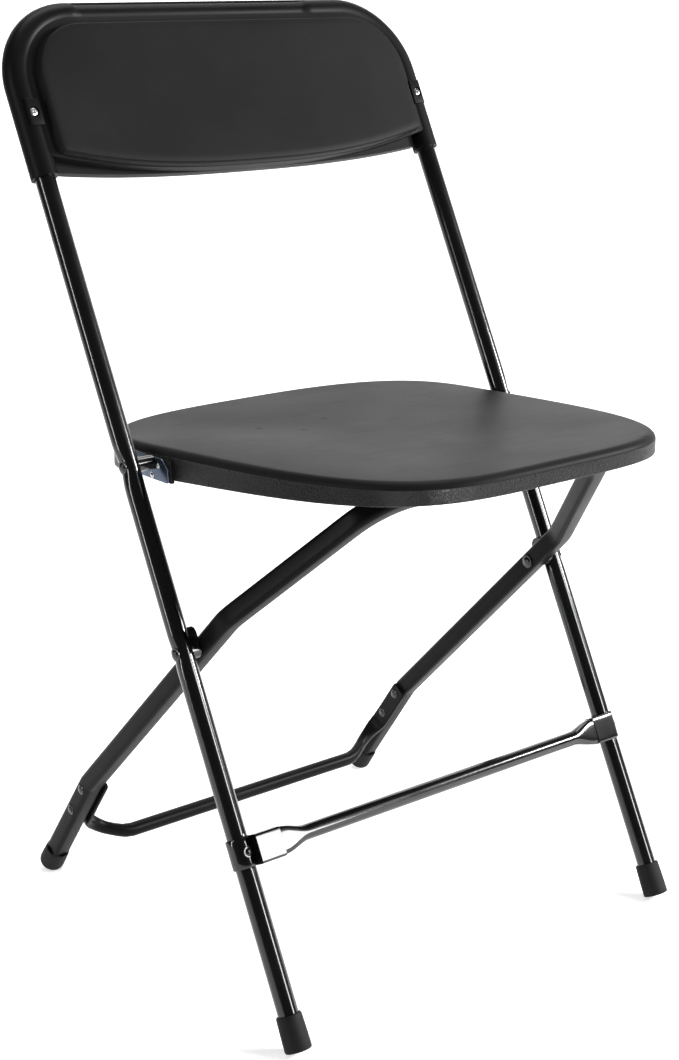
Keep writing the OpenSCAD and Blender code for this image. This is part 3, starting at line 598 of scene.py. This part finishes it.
def half_rim(front):
    """Half of the rim around the tube: the front half, with its recess on top, or the rear."""
    sign = -1 if front else 1

    def profile(x, t):
        recessed = front and t > TOP_T - 1 and RECESS_X[0] < x < RECESS_X[1]
        outer = []
        for q in (1.2, *range(6, 175, 6), 178.8):
            deep = RECESS_DEPTH if recessed and RECESS_TURN[0] < q < RECESS_TURN[1] else 0
            outer.append((sign * math.radians(q), RIM_R - deep))
        return outer + [(a, TUBE_R + 0.1) for a, _ in reversed(outer)]
    return skin(sweep_u(BACK_T, profile))


SCREW_PAD_PERP, SCREW_PAD_SIZE = -9.5, (12, 7, 23)


def screw_pad(side):
    centre = on_frame(side * (TUBE_X - 1), SCREW_PAD_PERP, SCREW_T)
    return block(centre, (X_AXIS, TUBE_BACK, TUBE_UP), SCREW_PAD_SIZE)


# Panels from the rim inwards, as (inset, rise of the lower edge, perp)
FRONT_STEPS = [(8.7, 0, -0.2), (8.7, 0, -9.0), (4.8, 0, -10.2), (5.2, 0.05, -10.45),
               (11.8, 0.1, -10.5), (12.6, 0.2, -10.7), (13.0, 0.3, -11.3), (13.1, 0.4, -13),
               (13.3, 0.6, -17.0), (13.6, 0.9, -18.0), (14.1, 1.4, -18.6), (14.9, 2.2, -18.9),
               (20, 7.3, -19.0)]
REAR_STEPS = [(8.7, 0, 0.2), (8.7, 0, 7.6), (9.1, 0.4, 8.9), (10.0, 1.3, 9.9), (11.6, 2.9, 10.4),
              (14, 5.3, 10.5), (27, 18, 10.5), (27.8, 18.8, 10.2), (28.6, 19.6, 9.7),
              (30, 21, 9.5)]
FRONT_MIDDLE, REAR_MIDDLE = -18.6, 9.3
rim = piece("back_front_rim", *half_rim(True), ["moulded_plastic"], "front_frame",
            ["back_front_shell"])
LATCH, LATCH_SIZE = (-17, -11.4, 861.6), (18, 2.6, 7.5)
cut(rim, [block(on_frame(*LATCH), (X_AXIS, TUBE_BACK, TUBE_UP), LATCH_SIZE)])
piece("back_front_panel", *shell_panel(FRONT_STEPS, FRONT_LOWER, FRONT_BOW, FRONT_MIDDLE),
      ["moulded_plastic"], "front_frame")
pads = piece("back_screw_pads", *merge([screw_pad(-1), screw_pad(1)]), ["moulded_plastic"],
             "front_frame", bevel=0.7)
SCREW_RECESS = [(0, 0), (4.6, 0), (4.6, 2.2), (0, 2.2)]
cut(pads, [lathe(on_frame(s * TUBE_X, -14, SCREW_T), TUBE_BACK, SCREW_RECESS) for s in (-1, 1)])
# The rim and screw pads take the darker copy of the plastic, painted shade
for obj in (rim, pads):
    obj.data.materials[0] = MATERIALS["shaded_rim_plastic"]
piece("back_rear_shape",
      *merge([half_rim(False), shell_panel(REAR_STEPS, REAR_LOWER, REAR_BOW, REAR_MIDDLE)]),
      ["moulded_plastic"], "front_frame", ["back_rear_shell"])


def screw_head(at, axis, r, h):
    """A pan head with a cross recess, as its turned part."""
    profile = [(0, -1), (r, -1), (r, 0.3), (r - 0.25, h * 0.6), (r - 0.9, h * 0.92), (r - 1.8, h),
               (1.3, h), (1.0, h - 0.7), (0, h - 0.7)]
    return lathe(at, axis, profile, 32)


SCREW_HEAD_PERP, SCREW_TIP_PERP = -11.7, -4.3
heads = [on_frame(s * TUBE_X, SCREW_HEAD_PERP, SCREW_T) for s in (-1, 1)]
tips = [on_frame(s * TUBE_X, SCREW_TIP_PERP, SCREW_T) for s in (-1, 1)]
piece("back_screws_shape",
      *merge([screw_head(head, -TUBE_BACK, 3.6, 1.1) for head in heads]
             + [shank(head, tip, 1.9) for head, tip in zip(heads, tips)]),
      ["screw_steel"], "front_frame", ["back_screws"])


# ---------------------------------------------------------------- seat
SEAT_W, AHEAD, BEHIND, OVER = 180.5, 63.0, 352.0, 12.0
FALL = math.tan(math.radians(3.3))
WIDE_Y, TAPER, DISH, WALL, EDGE_R = 12.0, 12.0, 5.0, 3.0, 7.0
SKIRT_FRONT, SKIRT_REAR = 17, 30
PIVOT_Y = P1.y - Y0
FRONT_N, REAR_N = 4.2, 2.9


def seat_top(y):
    return P1.z + OVER - (y - PIVOT_Y) * FALL


def skirt_depth(y):
    return SKIRT_FRONT + (SKIRT_REAR - SKIRT_FRONT) * (y + AHEAD) / (BEHIND + AHEAD)


def seat_edge(a, inset):
    """A point of the seat's outline, in y from the tubes' floor line."""
    wide = PIVOT_Y + WIDE_Y
    front_half = math.sin(a) < 0
    n = FRONT_N if front_half else REAR_N
    reach = (wide + AHEAD if front_half else BEHIND - wide) - inset
    y = wide + reach * power(math.sin(a), 2 / n)
    half = SEAT_W - TAPER * max(wide - y, 0) / (wide + AHEAD)
    return (half - inset) * power(math.cos(a), 2 / n), y


SEAT_N = 232
seat_angles = [2 * math.pi * i / SEAT_N for i in range(SEAT_N)]


def seat_ring(inset, drop=0.0, skirt=None):
    """drop is below the top, or skirt is a share of the skirt's depth less an end allowance."""
    ring = []
    for a in seat_angles:
        x, y = seat_edge(a, inset)
        z = seat_top(y) - (drop if skirt is None else skirt[0] * skirt_depth(y) - skirt[1])
        ring.append(Vector((x, y + Y0, z)))
    return ring


def top_ring(share, drop):
    """A ring on the dished top, at a share of the way out from the middle."""
    middle = (BEHIND - AHEAD) / 2
    dip = DISH * (1 - share) ** 2 * (1 + 2 * share)
    ring = []
    for a in seat_angles:
        x, y = seat_edge(a, EDGE_R)
        y = middle + (y - middle) * share
        ring.append(Vector((x * share, y + Y0, seat_top(y) - drop - dip)))
    return ring


def seat_shape():
    """Verts, faces and each face's material: 1 on the pebbled skirt, whose darker colour is
    painted shade, 0 elsewhere.
    """
    outer = [seat_ring(WALL - 0.4, skirt=(1, 0.0)), seat_ring(0.9, skirt=(1, 0.0)),
             seat_ring(0.25, skirt=(1, 0.3)), seat_ring(0.0, skirt=(1, 1.0))]
    outer += [seat_ring(0.0, 0, (0.8, 0)), seat_ring(0.0, EDGE_R + 1.5)]
    outer += [seat_ring(EDGE_R * (1 - math.cos(a)), EDGE_R * (1 - math.sin(a)))
              for a in [math.radians(q) for q in range(0, 91, 10)]]
    skirt_rings = 7
    outer += [top_ring(s, 0) for s in (0.985, 0.96, 0.93, 0.89, 0.84, 0.78, 0.71, 0.63, 0.54, 0.44,
                                       0.33, 0.22, 0.12, 0.04)]
    inner = [top_ring(s, WALL) for s in (0.04, 0.22, 0.44, 0.63, 0.78, 0.89, 0.96)]
    inner += [seat_ring(WALL + 4 * (1 - math.cos(a)), WALL + 4 * (1 - math.sin(a)))
              for a in [math.radians(q) for q in (90, 60, 30, 0)]]
    v, f = skin(outer + inner, looped=True)
    m = len(outer) - 1
    f = [q for i, q in enumerate(f) if i // SEAT_N != m]
    f.append(tuple(m * SEAT_N + i for i in range(SEAT_N)))
    f.append(tuple((m + 1) * SEAT_N + i for i in range(SEAT_N)))
    rows = [i // SEAT_N for i in range(len(f) - 2)]
    pebbled_and_shaded = [1 if r < skirt_rings else 0 for r in rows] + [0, 0]
    return v, f, pebbled_and_shaded


# Two bosses carry the pads over the legs' top bar, and two flats carry the brackets
LEG_CHAMFER, PAD_GAP, PAD_T = 3.0, 0.4, 3
BOSS_X, BOSS_W, BOSS_L = 62, 30, 26
FLAT_X, FLAT_Y, FLAT_SIZE = 179.3, 7, (3.6, 62, 19)
BRACKET_DROP = 4.5
bar_y = P2.y - TOP_S * math.cos(RISE)
boss_floor = ARCH_Z + (2 * LEG_H - LEG_CHAMFER) / math.sqrt(2) + PAD_GAP + PAD_T
boss_top = seat_top(bar_y - Y0) - WALL
verts, faces, pebbled_and_shaded = seat_shape()
upright = (X_AXIS, Y_AXIS, Z_AXIS)
extra = [block(Vector((s * BOSS_X, bar_y, (boss_floor + boss_top) / 2)), upright,
               (BOSS_W, BOSS_L, boss_top - boss_floor)) for s in (-1, 1)]
extra += [block(Vector((s * FLAT_X, P1.y + FLAT_Y, P1.z - BRACKET_DROP)), upright, FLAT_SIZE)
          for s in (-1, 1)]
# The skirt's faces take the pebbled plastic, darker as painted shade
seat = piece("seat_shape", verts, faces, ["moulded_plastic", "pebbled_shaded_plastic"], "seat",
             ["seat_shell"], indices=pebbled_and_shaded)
piece("seat_bosses", *merge(extra), ["moulded_plastic"], "seat", bevel=0.6)
# Three drain slots, turned to the same diagonal
DRAINS, DRAIN_SIZE = ((-69.3, 226.8), (-44.3, 197.4), (-2.1, 223.3)), (5.5, 1.1, 12)
diagonal = (Vector((0.8, -0.6, 0)), Vector((0.6, 0.8, 0)), Z_AXIS)
cut(seat, [block(Vector((x, y + Y0, seat_top(y) - 4)), diagonal, DRAIN_SIZE)
           for x, y in DRAINS])

# The brackets' outline and screws, as (y, z) from the pivot; the outline is lower by its drop
BRACKET = [(-22, -8.5), (-22, 3.2), (-13, 9.3), (34, 9.3), (36, 7.3), (36, -7.3), (34, -9.5),
           (-20.5, -9.5)]
BRACKET_SCREWS = ((14, -1.5), (26, -4.5), (-9, -1), (0, -10.5))
BRACKET_IN, BRACKET_OUT = 181.1, 183.1
for side, word in ((-1, "left"), (1, "right")):
    rings = [[P1 + Vector((side * x, y, z - BRACKET_DROP)) for y, z in BRACKET]
             for x in (BRACKET_IN, BRACKET_OUT)]
    piece(f"seat_bracket_{word}_shape", *skin(rings), ["bracket_zinc"], "seat",
          [f"seat_bracket_{word}"], bevel=0.5)
piece("seat_bracket_screws_shape",
      *merge([dome(P1 + Vector((s * 183.0, y, z)), X_AXIS * s, 2.6, 1.5, 0.3)
              for s in (-1, 1) for y, z in BRACKET_SCREWS]),
      ["screw_steel"], "seat", ["seat_bracket_screws"])


# ---------------------------------------------------------------- rear legs
def leg_rings():
    """Rings along the whole bent tube, from the left foot over the top bar to the right foot."""
    section = rounded_square(LEG_H, 4.2)
    flat = route([(-LOW_X, -LOW_S), (-KINK_X, KINK_S), (-CORNER_X, TOP_S), (CORNER_X, TOP_S),
                  (KINK_X, KINK_S), (LOW_X, -LOW_S)], [0, KINK_R, ARCH_R, ARCH_R, KINK_R, 0],
                 5.0, 3.0)

    def low_rings(side, u):
        start, way, front = low_leg(side)
        down = X_AXIS * side * math.sin(SPLAY) - LEG_UP * math.cos(SPLAY)
        trim = LOW_BEND_R * math.tan(LOW_TURN / 2)
        found = []
        for k in range(5):
            a = LOW_TURN * k / 4
            ahead = LEG_FRONT * math.cos(a) - down * math.sin(a)
            centre = start - down * trim + LEG_FRONT * LOW_BEND_R
            found.append((centre - ahead * LOW_BEND_R, ahead))
        found += [(start + way * s, front) for s in (14, 30, 50, 70, 90, 108, LOW_L - CAP_FLOOR)]
        return [[p + u * c[0] + ahead * c[1] for c in section] for p, ahead in found]

    first = X_AXIS * -math.sin(flat[0][2]) + LEG_UP * math.cos(flat[0][2])
    final = X_AXIS * -math.sin(flat[-1][2]) + LEG_UP * math.cos(flat[-1][2])
    rings = list(reversed(low_rings(-1, first)))
    for x, s, h in flat[1:-1]:
        u = X_AXIS * -math.sin(h) + LEG_UP * math.cos(h)
        ring = []
        for c in section:
            press = 0.0
            if c[0] < -6 and abs(s) < 14 and abs(c[1]) < 7:
                press = 0.9 * math.exp(-(s * s + c[1] * c[1]) / 60)
            ring.append(on_legs(x, s) + u * (c[0] + press) + LEG_FRONT * c[1])
        rings.append(ring)
    rings += low_rings(1, final)
    return rings


piece("rear_leg_frame_shape", *skin(leg_rings()), ["leg_paint"], "rear_legs", ["rear_leg_frame"])


REAR_BAR_SIDES = 40


def rear_bar_half(side):
    """Rings from the middle of the crossbar to the top of one flattened end."""
    start, way, front = low_leg(side)
    out = X_AXIS * side
    plate_x = LOW_X - (LEG_H + 1.6)
    drop = (LOW_Z - REAR_BAR_Z - REAR_BAR_SET * math.sin(FOOT_LEAN)) / math.cos(FOOT_LEAN)
    bend = 25.0
    bend_x = plate_x - bend
    ease_x = 130
    rings = []
    stops = [("bar", x) for x in (0, 50, 95, 120, 130, 138, 145)]
    stops += [("bend", q) for q in range(0, 91, 6)]
    stops += [("plate", s) for s in (30, 20, 10, 4, 0, -1.2, -2)]
    for kind, v in stops:
        if kind == "bar":
            x, s, along = v, drop, 0.0
        elif kind == "bend":
            a = math.radians(v)
            x, s, along = bend_x + bend * math.sin(a), drop - bend + bend * math.cos(a), a
        else:
            x, s, along = plate_x + v * math.sin(SPLAY), v, math.pi / 2
        if kind == "bar" and x > bend_x:
            continue
        flat = {"bar": 0.0, "bend": smooth((v - 30) / 60), "plate": 1.0}[kind]
        near = 1.0 if kind == "plate" else smooth((x - ease_x) / (plate_x - ease_x))
        ahead = REAR_BAR_SET - (REAR_BAR_SET - PLATE_AHEAD) * near
        wide, thick = BAR_R + 2.4 * flat, BAR_R - 4.9 * flat
        if kind == "plate" and v < 0:
            wide -= 0.5 * -v
        squareness = 2 + 5 * flat
        point = start + way * s
        point = Vector((side * x, point.y, point.z)) + front * ahead
        normal = out * math.sin(along) + way * math.cos(along)
        ring = []
        for k in range(REAR_BAR_SIDES):
            b = 2 * math.pi * k / REAR_BAR_SIDES
            ring.append(point + front * wide * power(math.cos(b), 2 / squareness)
                        + normal * thick * power(math.sin(b), 2 / squareness))
        rings.append(ring)
    return rings


left, right = rear_bar_half(-1), rear_bar_half(1)
piece("rear_crossbar_shape", *skin(list(reversed(left))[:-1] + right), ["leg_paint"], "rear_legs",
      ["rear_crossbar"])
heads = []
for side in (-1, 1):
    start, way, _ = low_leg(side)
    for s in REAR_BAR_RIVETS:
        at = start + way * s
        heads.append(dome(at + X_AXIS * side * LEG_H, X_AXIS * side, RIVET_HEAD_R, 1.8))
        heads.append(dome(at - X_AXIS * side * (LEG_H + 3.1), X_AXIS * -side, RIVET_HEAD_R, 1.8))
piece("rear_crossbar_rivets_shape", *merge(heads), ["rivet_steel"], "rear_legs",
      ["rear_crossbar_rivets"])

# CAD nodes that keep their shape
for word in ("left", "right"):
    for name, mat in ((f"seat_pivot_spacer_{word}", "tube_paint"),
                      (f"leg_pivot_spacer_{word}", "tube_paint"),
                      (f"seat_glide_{word}", "glide_nylon")):
        mesh = frame["nodes"][name].data
        mesh.materials.clear()
        mesh.materials.append(MATERIALS[mat])

# ---------------------------------------------------------------- stage, light and camera
VIEW_TURN, VIEW_FALL = -39.1, 16.56
SWEEP_Y, SWEEP_R, SWEEP_TOP, SWEEP_HALF = 3.2, 1.5, 6, 7

floor_mat, tree, shader = new_material("floor")
grain = noise(tree, coordinates(tree), 3.0, 3.0).outputs[0]
tree.links.new(blend_colours(tree, grain, (0.86, 0.86, 0.86), (0.9, 0.9, 0.9)),
               shader.inputs["Base Color"])
shader.inputs["Roughness"].default_value = 0.65
shader.inputs["Emission Color"].default_value = (1, 1, 1, 1)
shader.inputs["Emission Strength"].default_value = 0.45
# The floor curves up into a wall behind the chair, square to the view; lengths in metres
curve = [math.radians(q) for q in range(10, 91, 10)]
sweep = [(-6, 0), (SWEEP_Y, 0)]
sweep += [(SWEEP_Y + SWEEP_R * math.sin(a), SWEEP_R - SWEEP_R * math.cos(a)) for a in curve]
sweep.append((SWEEP_Y + SWEEP_R, SWEEP_TOP))
turn = math.radians(VIEW_TURN)
cos_turn, sin_turn = math.cos(turn), math.sin(turn)
verts = [(x * cos_turn - y * sin_turn, x * sin_turn + y * cos_turn, z)
         for y, z in sweep for x in (-SWEEP_HALF, SWEEP_HALF)]
faces = [(2 * j, 2 * j + 1, 2 * j + 3, 2 * j + 2) for j in range(len(sweep) - 1)]
mesh = bpy.data.meshes.new("studio_floor")
mesh.from_pydata(verts, [], faces)
mesh.materials.append(floor_mat)
mesh.shade_smooth()
studio = bpy.data.objects.new("studio_floor", mesh)
bpy.context.scene.collection.objects.link(studio)


def area(name, place, target, width, height, watts):
    """A soft light in metres, turned towards its target."""
    data = bpy.data.lights.new(name, "AREA")
    data.shape = "RECTANGLE"
    data.size = width
    data.size_y = height
    data.energy = watts
    obj = bpy.data.objects.new(name, data)
    obj.location = place
    obj.rotation_euler = (Vector(target) - Vector(place)).to_track_quat("-Z", "Y").to_euler()
    bpy.context.scene.collection.objects.link(obj)


area("key", (1.35, -2.5, 1.2), (0, 0, 0.45), 0.45, 1.6, 60)
area("left_strip", (-2.9, 0.4, 1.3), (0, 0, 0.45), 0.14, 2.4, 36)
area("glow", (2.1, -1.5, 1.4), (0, 0.2, 0.7), 0.6, 0.5, 110)
area("right_rear", (2.2, 1.8, 1.6), (0, 0, 0.4), 0.8, 1.6, 3)
area("overhead", (0.2, 0.4, 3.2), (0, 0, 0), 2.6, 2.6, 8)
area("backdrop", (1.0, 1.2, 3.6), (1.8, 3.6, 0.0), 2.4, 2.4, 110)

world = bpy.data.worlds.new("studio")
bpy.context.scene.world = world
world.use_nodes = True
background = world.node_tree.nodes["Background"]
background.inputs[0].default_value = (1, 1, 1, 1)
background.inputs[1].default_value = 0.08

camera = bpy.data.objects.new("camera", bpy.data.cameras.new("camera"))
camera.location = (-0.9935, -1.1920, 0.8088)
camera.rotation_euler = (math.radians(90 - VIEW_FALL), 0, math.radians(VIEW_TURN))
camera.data.sensor_width = 36
camera.data.lens = 64.19
camera.data.clip_start = 0.01
bpy.context.scene.collection.objects.link(camera)
bpy.context.scene.camera = camera
bpy.context.scene.view_settings.view_transform = "Standard"
